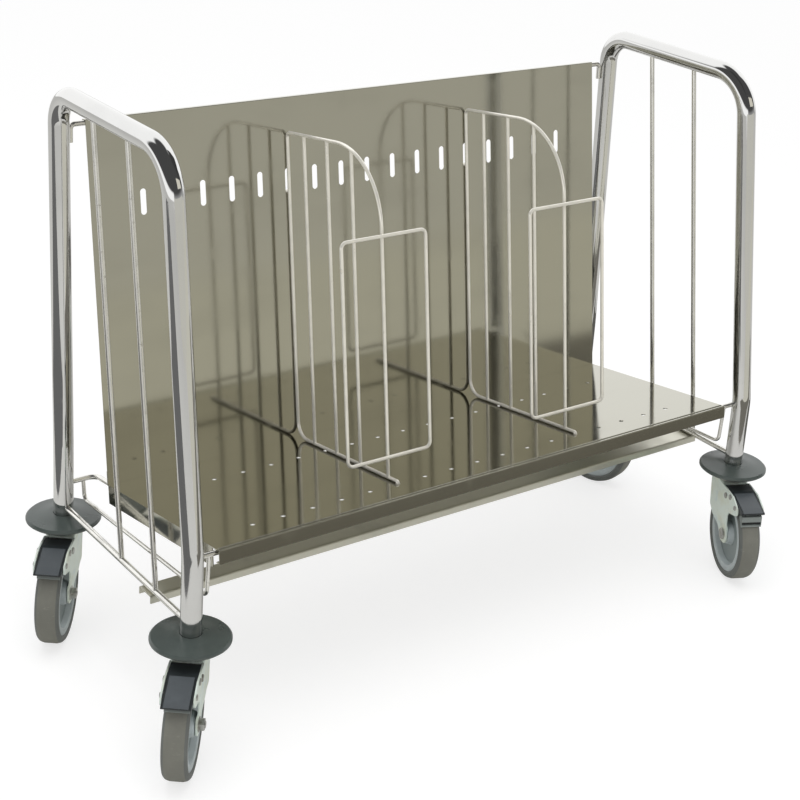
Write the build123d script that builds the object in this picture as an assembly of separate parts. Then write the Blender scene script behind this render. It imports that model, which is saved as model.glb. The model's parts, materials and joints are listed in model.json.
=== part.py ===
from build123d import *
import math
import os

# Plate dispenser cart: two chromed end frames on four braked swivel casters,
# a tilted stainless shelf and back panel, and two lift-out wire dividers.
# Lengths in mm. +X along the cart, -Y the loading side, +Z up, floor at Z = 0.

# ---- place in the shared frame (centres the whole box on X = Y = 0) ----
SHIFT_X = 16.08
SHIFT_Y = -165.67

# ---- end frames ----
FRAME_X = 520.0          # half the distance between the two frame planes
TUBE_R = 15.0
TUBE_WALL = 1.5
FOOT_Z = 184.0           # lower end of the four legs
KINK_Z = 300.0           # legs are upright below this height
TOP_Z = 833.5            # centreline of the top tube
FRONT_Y = 0.0
REAR_Y = 388.0
FRONT_TOP_Y = 79.0
REAR_TOP_Y = 404.0
FRONT_BEND = 70.0
REAR_BEND = 45.0
KINK_BEND = 130.0
BAR_R = 4.75
BAR_Z = 197.0
INFILL_R = 3.75
INFILL_Y = ((98.0, 199.0), (199.5, 299.0))   # (at the bar, at the top tube)

# ---- rails between the frames ----
CHANNEL_Y = 115.0
CHANNEL_W = 34.0
CHANNEL_H = 12.0
CHANNEL_T = 2.0
CHANNEL_HALF = 528.0
TOP_ROD_R = 4.0

# ---- shelf and back panel, in a frame tilted about the line where they meet ----
TILT = 8.4               # degrees
FOLD_Y = 322.0
FOLD_Z = 250.0
PLATE_HALF = 480.0
SHELF_D = 325.0
SHELF_T = 1.5
FRONT_FLANGE = 20.0
SIDE_FLANGE = 29.0
SIDE_NOTCH = 19.0
PANEL_H = 545.0
PANEL_T = 1.2
PITCH = 49.5
COLUMNS = 17
SLOT_W = 9.5
SLOT_H = 39.0
SLOT_UP = 415.5
HOLE_R = 3.75
HOLE_ROWS = (80.0, 272.0)

# ---- shelf support rods and the loops under them ----
ROD_R = 4.0
ROD_X = 469.0
ROD_FRONT = 315.0        # distance in front of the fold
ROD_REAR = 64.0          # distance behind the fold
LOOP_R = 3.0
LOOP_X = 490.0

# ---- dividers ----
WIRE_R = 2.75
DIVIDER_COLUMN = (-3, 4)
DIVIDER_D = 248.0
DIVIDER_H = 491.0
DIVIDER_ARC = 110.0
UPRIGHTS = (50.0, 112.0, 176.0)
FENCE_HALF = 74.0
FENCE_UP = (36.0, 369.0)
GAP = 0.4

# ---- casters ----
WHEEL_R = 75.0
TYRE_W = 36.0
TRAIL = 45.0
HUB_R = 58.0
AXLE_R = 5.0
SLEEVE_R = 8.0
FORK_IN = 21.0
FORK_T = 3.0
FORK_TOP = 158.0
PIVOT_U = 44.0
PIVOT_Z = 146.0
BUMPER_R = 56.0
CASTERS = (
    ("front_left", -1, FRONT_Y, 231.0),
    ("back_left", -1, REAR_Y, 232.0),
    ("front_right", 1, FRONT_Y, 244.0),
    ("back_right", 1, REAR_Y, 285.0),
)

os.makedirs("parts", exist_ok=True)


# ---------------------------------------------------------------- helpers
def bent_line(points, radii, closed=False):
    """Polyline through 3-D points with a round bend at each inner corner."""
    pts = [Vector(*p) for p in points]
    n = len(pts)
    edges = []
    start = pts[0]
    corners = range(n) if closed else range(1, n - 1)
    first = None
    for k in corners:
        a = pts[k - 1]
        b = pts[k]
        c = pts[(k + 1) % n]
        r = radii[k] if closed else radii[k - 1]
        din = (b - a).normalized()
        dout = (c - b).normalized()
        turn = math.acos(max(-1.0, min(1.0, din.dot(dout))))
        t = r * math.tan(turn / 2)
        p1 = b - din * t
        p2 = b + dout * t
        mid_dir = (dout - din).normalized()
        centre = b + mid_dir * (r / math.cos(turn / 2))
        mid = centre - mid_dir * r
        if closed and first is None:
            first = p1
        else:
            edges.append(Edge.make_line(start, p1))
        edges.append(Edge.make_three_point_arc(p1, mid, p2))
        start = p2
    if closed:
        edges.append(Edge.make_line(start, first))
    else:
        edges.append(Edge.make_line(start, pts[-1]))
    return Wire(edges)


def rod(points, radii, radius, closed=False, bore=0.0):
    """Round bar, or tube, along a bent line."""
    path = bent_line(points, radii, closed)
    where = Plane(origin=path @ 0, z_dir=path % 0)
    section = where * Circle(radius)
    if bore:
        section = section - where * Circle(bore)
    return sweep(section, path=path)


def lathe(points, x=0.0, y=0.0):
    """Ring or disc turned about the vertical axis from (radius, height) points."""
    face = make_face(Plane.XZ * Polyline(*points, close=True))
    return Pos(x, y, 0) * revolve(face, axis=Axis.Z)


def along_v(points, v0, v1):
    """Outline given as (u, z), thickened along the caster's cross axis."""
    face = make_face(Plane.XZ * Polyline(*points, close=True))
    return Pos(0, v0, 0) * extrude(face, amount=v1 - v0, dir=(0, 1, 0))


def disc_v(u, z, radius, v0, v1):
    """Cylinder lying across the caster."""
    return Pos(u, (v0 + v1) / 2, z) * Rot(90, 0, 0) * Cylinder(radius, v1 - v0)


def save(shape, name):
    placed = Pos(SHIFT_X, SHIFT_Y, 0) * shape
    solids = placed.solids()
    item = solids[0] if len(solids) == 1 else Compound(children=list(solids))
    item.label = name
    export_step(item, "parts/" + name + ".step")


def tilted(shape):
    """From the shelf-and-panel frame (fold line at the origin) to the cart."""
    return Pos(0, FOLD_Y, FOLD_Z) * Rot(-TILT, 0, 0) * shape


def tilt_point(forward, up):
    c = math.cos(math.radians(TILT))
    s = math.sin(math.radians(TILT))
    return FOLD_Y - forward * c + up * s, FOLD_Z + forward * s + up * c


# ---------------------------------------------------------------- end frames
def leg_points(x):
    return [(x, FRONT_Y, FOOT_Z), (x, FRONT_Y, KINK_Z), (x, FRONT_TOP_Y, TOP_Z),
            (x, REAR_TOP_Y, TOP_Z), (x, REAR_Y, KINK_Z), (x, REAR_Y, FOOT_Z)]


LEG_BENDS = [KINK_BEND, FRONT_BEND, REAR_BEND, KINK_BEND]


def end_frame(side, sx):
    x = sx * FRAME_X
    tube = rod(leg_points(x), LEG_BENDS, TUBE_R, bore=TUBE_R - TUBE_WALL)
    filled = rod(leg_points(x), LEG_BENDS, TUBE_R)
    bar = rod([(x, FRONT_Y, BAR_Z), (x, REAR_Y, BAR_Z)], [], BAR_R) - filled
    wires = []
    for low, high in INFILL_Y:
        wire = rod([(x, low, BAR_Z), (x, high, TOP_Z)], [], INFILL_R)
        wires.append(wire - filled - bar)
    save(tube, side + "_frame_tube")
    save(bar, side + "_frame_bottom_bar")
    save(Compound(children=[w.solids()[0] for w in wires]), side + "_frame_infill_wires")

    # support rod: rear leg, in, forward under the shelf, out to the front leg
    reach = FRAME_X - 4
    fy, fz = tilt_point(ROD_FRONT, -SHELF_T - ROD_R)
    ry, rz = tilt_point(-ROD_REAR, -SHELF_T - ROD_R)
    line = [(sx * reach, ry, rz), (sx * ROD_X, ry, rz), (sx * ROD_X, fy, fz), (sx * reach, fy, fz)]
    support = rod(line, [14, 6], ROD_R) - filled
    save(support, side + "_shelf_support_rod")

    # loop hanging under the support rod
    lx = sx * LOOP_X
    line = [(lx, ry, rz), (lx, ry - 6, 203.0), (lx, fy + 3, 226.0), (lx, fy, fz)]
    loop = rod(line, [11, 11], LOOP_R) - support
    save(loop.solids().sort_by(SortBy.VOLUME)[-1], side + "_drop_loop")


# ---------------------------------------------------------------- rails
def rails():
    z1 = BAR_Z - BAR_R
    z0 = z1 - CHANNEL_H
    w = CHANNEL_W / 2
    t = CHANNEL_T
    outline = [(-w, z0), (-w, z1), (w, z1), (w, z0), (w - t, z0), (w - t, z1 - t),
               (-w + t, z1 - t), (-w + t, z0)]
    face = make_face(Plane.YZ * Polyline(*outline, close=True))
    channel = Pos(-CHANNEL_HALF, CHANNEL_Y, 0) * extrude(face, amount=2 * CHANNEL_HALF, dir=(1, 0, 0))
    channel = fillet(channel.edges().filter_by(Axis.X).group_by(Axis.Z)[-1], 3.0)
    save(channel, "stretcher_channel")

    # rod behind the panel's top edge, its ends turned down beside the rear legs
    y, z = tilt_point(-PANEL_T - TOP_ROD_R, PANEL_H - PANEL_T - TOP_ROD_R)
    leg_y = REAR_Y + (REAR_TOP_Y - REAR_Y) * (z - KINK_Z) / (TOP_Z - KINK_Z)
    reach = math.sqrt((TUBE_R + TOP_ROD_R + 0.02) ** 2 - (y - leg_y) ** 2)
    end = FRAME_X - reach
    slope = (REAR_TOP_Y - REAR_Y) / (TOP_Z - KINK_Z) * 26
    line = [(-end, y - slope, z - 26), (-end, y, z), (end, y, z), (end, y - slope, z - 26)]
    save(rod(line, [7, 7], TOP_ROD_R), "panel_top_rod")


# ---------------------------------------------------------------- sheet parts
def columns():
    return [(k - COLUMNS // 2) * PITCH for k in range(COLUMNS)]


def shelf():
    w = 2 * PLATE_HALF
    t = SHELF_T
    back = PANEL_T + t
    base = Pos(0, (back - SHELF_D) / 2, -t / 2) * Box(w, SHELF_D + back, t)
    front = Pos(0, -SHELF_D + t / 2, -FRONT_FLANGE / 2) * Box(w, t, FRONT_FLANGE)
    lip = Pos(0, -SHELF_D + 4.5, -FRONT_FLANGE + t / 2) * Box(w, 9, t)
    rear = Pos(0, PANEL_T + t / 2, 11 - t) * Box(w, t, 22)
    body = base + front + lip + rear
    length = SHELF_D - SIDE_NOTCH
    for sx in (-1, 1):
        flange = Pos(sx * (PLATE_HALF - t / 2), -length / 2, -SIDE_FLANGE / 2) * Box(t, length, SIDE_FLANGE)
        body = body + flange
        notch = Pos(sx * (PLATE_HALF - 9), -SHELF_D + SIDE_NOTCH / 2 + t, -12) * Box(20, SIDE_NOTCH - 2 * t, 2)
        body = body - notch
    edge = [e for e in body.edges().filter_by(Axis.X)
            if e.length > 900 and abs(e.center().Z) < 0.01 and e.center().Y < -SHELF_D + 0.01]
    body = fillet(edge, 1.4)
    bead = Pos(0, -SHELF_D + 6, 0) * Rot(0, 90, 0) * Cylinder(1.3, w - 4)
    body = body + (bead & Pos(0, -SHELF_D + 6, 1.5) * Box(w, 6, 3))
    for row in HOLE_ROWS:
        for x in columns():
            body = body - Pos(x, -row, -t / 2) * Cylinder(HOLE_R, 3 * t)
    save(tilted(body), "shelf_tray")


def panel():
    w = 2 * PLATE_HALF
    t = PANEL_T
    d = 2 * TOP_ROD_R
    sheet = Pos(0, t / 2, PANEL_H / 2) * Box(w, t, PANEL_H)
    hem = Pos(0, t + d / 2, PANEL_H - t / 2) * Box(w, d + 2 * t, t)
    lip = Pos(0, 1.5 * t + d, PANEL_H - 5) * Box(w, t, 10)
    body = sheet + hem + lip
    outer = [e for e in body.edges().filter_by(Axis.X) if e.length > 900 and e.center().Z > PANEL_H - 0.01]
    body = fillet(outer, 1.1)
    for x in columns():
        slot = Pos(x, t / 2, SLOT_UP) * Rot(90, 0, 0) * extrude(SlotOverall(SLOT_H, SLOT_W, rotation=90), 3, both=True)
        body = body - slot
    save(tilted(body), "back_panel")


# ---------------------------------------------------------------- dividers
def divider(side, column):
    x = column * PITCH
    back = WIRE_R + GAP
    foot = WIRE_R + GAP

    def at(points):
        return [(x, -f, u) for f, u in points]

    top = DIVIDER_H
    # front upright and curved top, back upright, foot wire and its turned-down pin
    path = at([(DIVIDER_D, foot), (DIVIDER_D, top), (back, top), (back, foot), (HOLE_ROWS[1], foot),
               (HOLE_ROWS[1], -9.0)])
    whole = rod(path[:4] + [(x, -150.0, foot)], [DIVIDER_ARC, 8, 25], WIRE_R)
    pin = rod([(x, -150.0, foot), path[4], path[5]], [2.8], WIRE_R)
    outline = whole + pin
    hook_up = SLOT_UP - SLOT_H / 2 + 2.5 + GAP
    hook = rod([(x, -back, hook_up), (x, 5.6, hook_up), (x, 5.6, hook_up - 14)], [3.2], 2.5)
    outline = outline + hook
    save(tilted(outline), side + "_divider_outline")
    posts = []
    for f in UPRIGHTS:
        post = rod(at([(f, foot), (f, top)]), [], WIRE_R)
        post = (post - outline).solids().sort_by(SortBy.VOLUME)[-1]
        posts.append(post)
    save(tilted(Compound(children=posts)), side + "_divider_uprights")
    y = -(DIVIDER_D + 2 * WIRE_R)
    lo, hi = FENCE_UP
    h = FENCE_HALF
    corners = [(x - h, y, lo), (x - h, y, hi), (x + h, y, hi), (x + h, y, lo)]
    save(tilted(rod(corners, [9, 9, 9, 9], WIRE_R, closed=True)), side + "_divider_fence")


# ---------------------------------------------------------------- casters
def bumper():
    r = BUMPER_R
    hole = 10.2
    ring = [(hole, 166), (31, 166), (31, 172), (34, 174), (r - 3, 174.5), (r, 177), (r, 179.5),
            (r - 2.5, 182), (40, 183.2), (22, 186), (15.4, 186), (15.4, 184), (hole, 184)]
    return lathe(ring)


def stem():
    # expanding plug in the leg, neck through the bumper, upper race, kingpin and rivet head
    r = TUBE_R - TUBE_WALL - 0.1
    turned = [(0, 151), (10, 151), (10, 153.8), (6, 153.8), (6, 161), (27, 161), (27, 166), (10, 166),
              (10, 184), (r, 184), (r, 224), (r - 2.5, 230), (0, 230)]
    return lathe(turned)


def bearing_ring():
    # under the stem's race, just clear of the fork's top plate
    return lathe([(16, FORK_TOP + 0.4), (24, FORK_TOP + 0.4), (24, 161), (16, 161)])


def fork():
    o = FORK_IN + FORK_T
    shell = Pos(15, 0, 108) * Box(90, 2 * o, 100)
    shell = fillet(shell.edges().filter_by(Axis.X).group_by(Axis.Z)[-1], 9.0)
    inner = Pos(15, 0, 108 - FORK_T - 0.5) * Box(92, 2 * FORK_IN, 100)
    inner = fillet(inner.edges().filter_by(Axis.X).group_by(Axis.Z)[-1], 6.0)
    shell = shell - inner
    side = [(-27, 158.5), (27, 158.5), (40, 154), (52, 153), (56, 140), (58, 100), (59, 80),
            (57, 68), (50, 61), (40, 61), (33, 67), (30, 78), (20, 104), (0, 128), (-22, 142), (-27, 148)]
    shell = shell & along_v(side, -40, 40)
    shell = shell - Cylinder(6.3, 400)
    # top plate stops short of the pedal
    shell = shell - Pos(45, 0, 160) * Box(32, 2 * FORK_IN, 20)
    shell = shell - disc_v(TRAIL, WHEEL_R, AXLE_R + 0.1, -40, 40)
    shell = shell - disc_v(PIVOT_U, PIVOT_Z, 3.0, -40, 40)
    return shell


def axle():
    u = TRAIL
    z = WHEEL_R
    o = FORK_IN + FORK_T
    shank = disc_v(u, z, AXLE_R, -o - 9, o)
    head = Pos(u, o, z) * Rot(-90, 0, 0) * extrude(RegularPolygon(9.2, 6), 6.4)
    nut = Pos(u, -o, z) * Rot(90, 0, 0) * extrude(RegularPolygon(9.2, 6), 7.5)
    nut = nut - disc_v(u, z, AXLE_R, -o - 9, o)
    return Compound(children=[(shank + head).solids()[0], nut.solids()[0]])


def sleeve():
    return disc_v(TRAIL, WHEEL_R, SLEEVE_R, -FORK_IN, FORK_IN) - disc_v(TRAIL, WHEEL_R, AXLE_R + 0.05, -30, 30)


def wheel_lathe(points):
    """Turned about the axle from (radius, cross position) points."""
    face = make_face(Plane.XY * Polyline(*points, close=True))
    turned = revolve(face, axis=Axis.Y)
    return Pos(TRAIL, 0, WHEEL_R) * turned


def tyre():
    r = WHEEL_R
    w = TYRE_W / 2
    ring = [(HUB_R, -w + 2), (60, -w), (67, -w), (71.5, -w + 1.6), (74, -w + 5), (r, -w + 10), (r, w - 10),
            (74, w - 5), (71.5, w - 1.6), (67, w), (60, w), (HUB_R, w - 2)]
    return wheel_lathe(ring)


def hub():
    b = SLEEVE_R + 0.08
    ring = [(b, -19.5), (15, -19.5), (17, -17), (19, -7), (46, -6), (49, -15), (52, -16.5), (HUB_R, -16),
            (HUB_R, 16), (52, 16.5), (49, 15), (46, 6), (19, 7), (17, 17), (15, 19.5), (b, 19.5)]
    body = wheel_lathe(ring)
    for k in range(6):
        a = math.radians(60 * k + 30)
        body = body - disc_v(TRAIL + 33 * math.cos(a), WHEEL_R + 33 * math.sin(a), 6.5, -30, 30)
    return body


def on_tyre(angle, gap):
    a = math.radians(angle)
    return TRAIL + (WHEEL_R + gap) * math.cos(a), WHEEL_R + (WHEEL_R + gap) * math.sin(a)


def pedal():
    # curved tread plate over the tyre, two cheeks outside the fork, stiffening ribs on top
    under = [(38, 159.5), (46, 159.5), on_tyre(76, 3.6), on_tyre(62, 2.4), on_tyre(52, 1.8), on_tyre(43.5, 1.6)]
    over = [(106.5, 132), (100, 139), (88, 148), (74, 156.5), (58, 163.4), (46, 165), (38, 164.5)]
    plate = along_v(under + over, -27.2, 27.2)
    i = FORK_IN + FORK_T + 0.5
    o = 27.2
    cheek = [(36, 164), (36, 146), (39, 140), (44, 138), (50, 139.5), (60, 146), (72, 149), (84, 143.5),
             (96, 133), (101, 130), (104, 133), (88, 147), (74, 155), (58, 162), (46, 164)]
    body = plate + along_v(cheek, i, o) + along_v(cheek, -o, -i)
    for v in (-16.0, 0.0, 16.0):
        rib = [(60, 160), (74, 154), (88, 146), (100, 137.5), (102, 139.8), (89, 149.6), (75, 158), (61, 164)]
        body = body + along_v(rib, v - 2, v + 2)
    body = body - disc_v(PIVOT_U, PIVOT_Z, 3.1, -40, 40)
    return body


def shoe():
    pts = [on_tyre(a, 0.6) for a in (43, 40, 37, 34, 31)] + [on_tyre(a, 7) for a in (31, 34, 37, 39.5)]
    pts.append((104.6, 129.6))
    body = along_v(pts, -18.5, 18.5)
    return body


def rivets():
    made = []
    for s in (-1, 1):
        a = s * (FORK_IN - 0.6)
        b = s * 28.0
        pin = disc_v(PIVOT_U, PIVOT_Z, 3.0, min(a, b), max(a, b))
        c = s * 27.6
        d = s * 29.6
        head = disc_v(PIVOT_U, PIVOT_Z, 5.6, min(c, d), max(c, d))
        made.append((pin + head).solids()[0])
    return Compound(children=made)


def casters():
    shoe_body = shoe()
    turning = (("caster_fork", fork()), ("wheel_axle_bolt", axle()), ("wheel_sleeve", sleeve()),
               ("wheel_tyre", tyre()), ("wheel_hub", hub()), ("brake_pedal", pedal() - shoe_body),
               ("brake_shoe", shoe_body), ("pedal_rivets", rivets()))
    disc = bumper()
    plug = stem().solids()[0]
    ring = bearing_ring().solids()[0]
    feet = [Pos(sx * FRAME_X, y, 0) for name, sx, y, heading in CASTERS]
    for foot, (name, sx, y, heading) in zip(feet, CASTERS):
        save(foot * disc, name + "_bumper_disc")
        for kind, shape in turning:
            save(foot * Rot(0, 0, heading) * shape, name + "_" + kind)
    save(Compound(children=[foot * plug for foot in feet]), "caster_stems")
    save(Compound(children=[foot * ring for foot in feet]), "swivel_bearings")


end_frame("left", -1)
end_frame("right", 1)
rails()
shelf()
panel()
divider("left", DIVIDER_COLUMN[0])
divider("right", DIVIDER_COLUMN[1])
casters()
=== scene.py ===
"""Finishes and fine detail of a plate dispenser cart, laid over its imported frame."""

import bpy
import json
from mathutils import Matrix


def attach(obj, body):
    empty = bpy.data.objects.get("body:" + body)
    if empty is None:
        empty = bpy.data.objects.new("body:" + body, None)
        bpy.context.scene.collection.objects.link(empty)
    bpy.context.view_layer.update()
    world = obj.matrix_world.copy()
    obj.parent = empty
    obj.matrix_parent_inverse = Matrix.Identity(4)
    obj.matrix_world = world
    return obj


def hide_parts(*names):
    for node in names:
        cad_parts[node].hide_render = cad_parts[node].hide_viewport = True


bl_info = {
    "name": "Plate Dispenser Cart",
    "version": (1, 0, 0),
    "blender": (4, 5, 0),
    "location": "3D View > Sidebar > Plate Cart",
    "description": "Dresses the frame, sheets, dividers and casters of a plate dispenser cart",
    "category": "Object",
}

import json
import math

import bmesh
import bpy
from bpy.props import FloatProperty, FloatVectorProperty, PointerProperty
from mathutils import Matrix, Vector

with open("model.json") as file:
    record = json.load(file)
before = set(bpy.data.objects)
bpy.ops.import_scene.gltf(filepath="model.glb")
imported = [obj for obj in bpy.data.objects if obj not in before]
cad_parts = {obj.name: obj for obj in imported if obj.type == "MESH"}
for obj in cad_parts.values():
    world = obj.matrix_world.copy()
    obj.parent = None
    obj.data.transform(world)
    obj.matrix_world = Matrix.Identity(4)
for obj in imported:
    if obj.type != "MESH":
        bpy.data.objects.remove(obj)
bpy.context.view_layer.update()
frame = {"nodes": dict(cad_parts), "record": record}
NODES = frame["nodes"]
BODY_OF = {n: body for body, names in frame["record"]["behaviour"]["bodies"].items() for n in names}
SLOT_OF = {s["node"]: s["material_slot"] for s in frame["record"]["subparts"]}
JOINT_OF = {j["name"]: j for j in frame["record"]["behaviour"]["joints"]}
SIDES = ("left", "right")
CORNERS = ("front_left", "back_left", "front_right", "back_right")

MM = 0.001
MERGE = 0.01 * MM                     # points nearer than this are one
FLAT_WITHIN = math.radians(0.6)       # triangles that turn less than this are one face
SMOOTH_BELOW = math.radians(34)       # edges that turn more than this stay sharp

# end frame tube, in metres, in the plane of its frame: (Y behind the front leg, Z)
TUBE_ROUTE = ((0, 0.184), (0, 0.300), (0.079, 0.8335), (0.404, 0.8335), (0.388, 0.300), (0.388, 0.184))
TUBE_BENDS = (0.130, 0.070, 0.045, 0.130)
TUBE_RADIUS = 0.01495
TUBE_WALL = 0.0015
TUBE_AROUND = 72
TUBE_STEP = math.radians(3)

# casters, in millimetres: U along the trail, V along the axle, Z up from the floor
WHEEL_R = 75.0
TRAIL = 45.0
SHEET = 2.6              # pressed steel of the fork
CHEEK_IN = 20.8          # inner face of the cheeks above the joggle
CHEEK_LOW = 18.4         # and beside the wheel
JOGGLE_TOP = 101.0       # height at which the cheeks start to step in
JOGGLE_RUN = 12.0        # height that the step takes
JOGGLE_CUT = 4.0         # and the height between its cuts
ROOF = 158.0             # top of the fork
ROOF_FOOT = 152.0        # height at which the roof meets the cheeks
ROOF_BACK = -27.0
ROOF_FRONT = 26.5
ROOF_BEND = 5.5          # outside radius of its bends
CHEEK_EDGE = 0.4
RIDGE = (63.0, 152.5)    # where the pad starts to slope, and a rivet under it
LOBE_RIVETS = ((*RIDGE, 4.8), (87.0, 144.5, 4.1))    # U, Z and radius
PIVOT = (44.0, 146.0)    # of the pedal
PEDAL_HALF = 20.3
PEDAL_EDGE = 0.6
THIN_EDGE = 0.35
RIM = 2.2
TREAD_INSET = 3.6        # from the pad's sides to its tread
RAISED_FROM = 60.0       # corners past this U are raised with the pad
PEDAL_WEB = 11.0         # from the middle to each web under the pad
WEB_HALF = 1.5
TYRE_TREAD_R = 73.6      # the running face is past this radius
HUB_WEB_HALF = 9.0       # the hub's web is within this V
TYRE_GAP = 0.6           # from the tyre to the shoe
SHOE_SPAN = 14.0         # degrees round the tyre
SHOE_HALF = 17.0
SLOT_MIDDLE = 126.1      # height of the slot across the tall shoe
SLOT_RIM = 0.9
SLOT_DEEP = 3.0
# (degrees that the pad is raised, degrees at which the shoe starts, depth of the shoe)
LOW_BRAKE = (0.0, 44.0, 4.6)
TALL_BRAKE = (7.0, 36.0, 12.5)
BRAKES = {corner: TALL_BRAKE if corner == "front_right" else LOW_BRAKE for corner in CORNERS}

# stage
FLOOR_LIFT = 0.69                    # glow that the floor shows to the camera
FLOOR_SHARE = 0.40                   # and its own tone there
FLOOR_TONE = (0.84, 0.835, 0.81)     # its tone to every other ray
GLOSS_WHITE = 1.22                   # the backdrop and the bright band, as mirrors see them
GLOSS_ROOM = 0.075                   # the dark room
GLOSS_SKIRT = 0.33                   # what is added to it near the floor
SKIRT_TOP = (0.02, 0.22)
BAND_EDGE = 0.05
# each band: (its direction, cosine of half its angle, heights over which it ends)
BACKDROP = ((0.47, 0.88), 0.29, (0.84, 0.92))
WINDOW = ((-0.98, -0.17), 0.57, (0.15, 0.24))
SENSOR = 36.0
LAMP_SIZE = (2.4, 1.8)
LAMP_PLACE = (-0.6, -0.4, 2.9)
LAMP_AIM = (0, 0, 0.3)
UPRIGHT = Matrix.Rotation(math.radians(90), 3, "X")
FLAT = Matrix.Identity(3)
ACROSS = Matrix.Rotation(math.radians(90), 3, "Z") @ UPRIGHT
# cards that only mirrors see: (name, size, place, turn, colour)
CARDS = (("studio_front", (9.0, 1.4), (2.0, -4.2, 0.3), UPRIGHT, (0.655, 0.645, 0.590)),
         ("studio_high", (5.6, 1.7), (3.9, -4.2, 3.0), UPRIGHT, (0.80, 0.77, 0.67)),
         ("studio_floor_front", (6.1, 2.95), (2.95, -2.72, 0.010), FLAT, (0.685, 0.67, 0.585)),
         # Painted shadow: these two dark floor cards are seen only in mirrors. They darken the floor round
         # the cart in its reflections, standing in for the cart's shadow.
         ("studio_floor_near", (2.5, 0.62), (0.95, -0.94, 0.012), FLAT, (0.20, 0.19, 0.165)),
         ("studio_floor_side", (0.45, 1.5), (1.18, 0.25, 0.012), FLAT, (0.13, 0.125, 0.115)),
         ("studio_floor_left", (3.6, 1.8), (-2.7, 0.15, 0.012), FLAT, (0.17, 0.17, 0.17)),
         ("studio_inner", (0.8, 1.1), (0.35, -0.35, 1.80), ACROSS, (0.05, 0.05, 0.05)))


def joint_place(name):
    return Vector(JOINT_OF[name]["pos_m"])


def colour(name, text, default):
    return FloatVectorProperty(name=name, description=text, default=default, size=3, min=0, max=1,
                               subtype="COLOR")


def share(name, text, default):
    return FloatProperty(name=name, description=text, default=default, min=0, max=1, subtype="FACTOR")


def length(name, text, default):
    return FloatProperty(name=name, description=text, default=default, unit="LENGTH", precision=5)


# ------------------------------------------------------------------ settings
class CartMetal(bpy.types.PropertyGroup):
    """Colours and blur of the cart's metals"""
    tube: colour("Tube", "Chrome of the end frames", (0.71, 0.71, 0.70))
    wire: colour("Wire", "Bright wire of frames and rods", (0.80, 0.79, 0.75))
    divider: colour("Divider wire", "Softer bright wire of the dividers", (0.93, 0.90, 0.81))
    sheet: colour("Sheet", "Polished stainless sheet", (0.45, 0.44, 0.375))
    channel: colour("Channel", "Dull stainless channel", (0.60, 0.59, 0.51))
    zinc: colour("Zinc", "Zinc plate on the forks", (0.84, 0.93, 0.86))
    bolt: colour("Bolt", "Bare steel of bolts, rivets and bearings", (0.50, 0.50, 0.48))
    sheet_roughness: share("Sheet roughness", "Blur of the polished sheet", 0.07)
    tube_roughness: share("Tube roughness", "Blur of the chromed tube", 0.05)
    sheet_edge: length("Sheet edge", "Rounding of cut sheet edges", 0.25 * MM)


class CartPlastic(bpy.types.PropertyGroup):
    """Colours of the casters' rubber and plastic, with painted shade for the hub webs and the tall shoe's
    slot
    """
    bumper: colour("Bumper", "Grey rubber of the bumper discs", (0.072, 0.088, 0.082))
    tyre: colour("Tyre", "Grey rubber of the tyres", (0.118, 0.126, 0.118))
    hub: colour("Hub", "Blue-grey plastic of the wheel hubs", (0.45, 0.50, 0.51))
    pedal: colour("Pedal", "Dark plastic of the brake pedals", (0.022, 0.027, 0.029))
    pad: colour("Pad", "Lighter plastic of the brake shoes", (0.21, 0.235, 0.225))
    tread: colour("Tread", "Dusty running face of the tyres", (0.175, 0.175, 0.150))
    # Painted shade: the hub web colour is darker than the hub, standing in for the shade inside the dished
    # web.
    web: colour("Hub web", "Shaded plastic of the dished hub webs", (0.27, 0.31, 0.31))
    step: colour("Pedal tread", "Lighter plastic of the pedals' treads", (0.082, 0.094, 0.103))
    # Painted shade: the slot colour is near black, standing in for the shade in the slot's recess.
    slot: colour("Shoe slot", "Shaded slot of the tall brake shoe", (0.018, 0.020, 0.020))


class CartStage(bpy.types.PropertyGroup):
    """Camera, floor and light"""
    camera_place: FloatVectorProperty(name="Camera place", description="Where the camera stands", size=3,
                                      default=(-1.5253, -1.9311, 1.4618), subtype="TRANSLATION",
                                      unit="LENGTH")
    camera_forward: FloatVectorProperty(name="Camera forward", description="Where the camera looks", size=3,
                                        default=(0.5878, 0.7428, -0.3206), subtype="DIRECTION")
    camera_up: FloatVectorProperty(name="Camera up", description="The camera's upright", size=3,
                                   default=(0.1412, 0.2959, 0.9447), subtype="DIRECTION")
    lens: FloatProperty(name="Lens", description="Focal length on a 36 mm sensor", default=78.05, min=10)
    shift_x: FloatProperty(name="Shift X", description="Sideways shift of the frame", default=-0.0513)
    shift_y: FloatProperty(name="Shift Y", description="Upward shift of the frame", default=-0.2127)
    floor_size: length("Floor size", "Width of the pale floor", 30.0)
    key_power: FloatProperty(name="Key power", description="Power of the soft lamp overhead", default=26.0)
    world: share("Surround", "Strength of the even surround on matt surfaces", 0.72)


# ------------------------------------------------------------------ shader maths
class Signal:
    """An output socket that adds Math nodes when it is used in an expression."""

    def __init__(self, web, socket):
        self.web = web
        self.socket = socket

    def maths(self, operation, first, second=None):
        values = {0: first}
        if second is not None:
            values[1] = second
        return self.web.add("ShaderNodeMath", {"operation": operation}, values)

    def __add__(self, other):
        return self.maths("ADD", self, other)

    def __radd__(self, other):
        return self.maths("ADD", other, self)

    def __sub__(self, other):
        return self.maths("SUBTRACT", self, other)

    def __rsub__(self, other):
        return self.maths("SUBTRACT", other, self)

    def __mul__(self, other):
        return self.maths("MULTIPLY", self, other)

    def __rmul__(self, other):
        return self.maths("MULTIPLY", other, self)

    def root(self):
        return self.maths("SQRT", self)

    def clip(self):
        node = self.maths("MULTIPLY", self, 1.0)
        node.socket.node.use_clamp = True
        return node

    def step(self, low, high):
        """0 below low, 1 above high, smooth between."""
        return self.web.add("ShaderNodeMapRange", {"interpolation_type": "SMOOTHSTEP"},
                            {"Value": self, "From Min": low, "From Max": high})


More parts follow.
